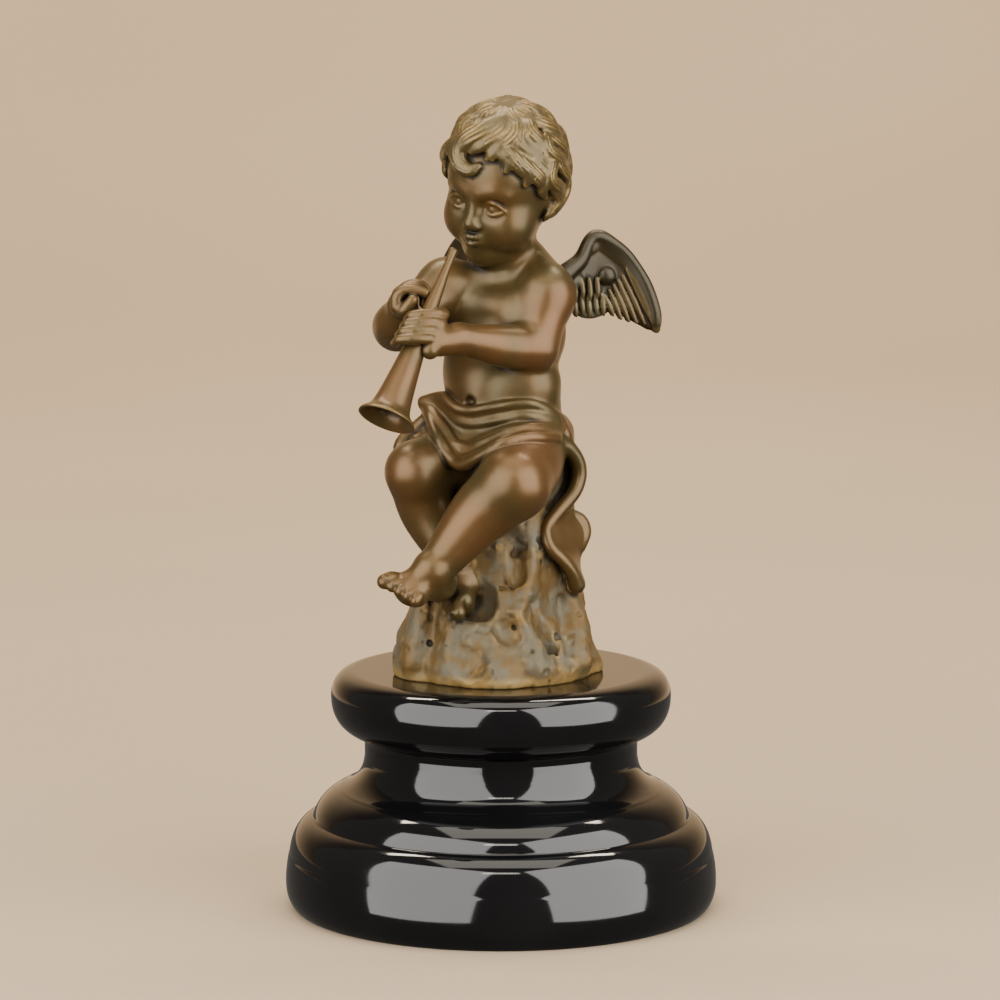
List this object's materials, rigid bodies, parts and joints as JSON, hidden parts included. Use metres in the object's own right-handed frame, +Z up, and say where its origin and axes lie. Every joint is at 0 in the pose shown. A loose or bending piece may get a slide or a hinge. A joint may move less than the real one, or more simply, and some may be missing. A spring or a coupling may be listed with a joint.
{
  "type": "bronze putto sculpture",
  "caption": "Seated winged child blowing a horn, cast in bronze with its rock, on a turned black marble plinth. Stands as an ornament.",
  "frame": {"origin": "centre of the plinth's round underside", "axes": "+Z up; the side that the statue is looked at from faces -Y"},
  "size_m": [0.145, 0.145, 0.2716],
  "materials": {
    "black_marble": "polished",
    "bronze": "brown patina, worn golden on the high places"
  },
  "bodies": {
    "root": {"marble_plinth": "black_marble", "putto_on_rock": "bronze", "horn": "bronze"}
  },
  "joints": []
}
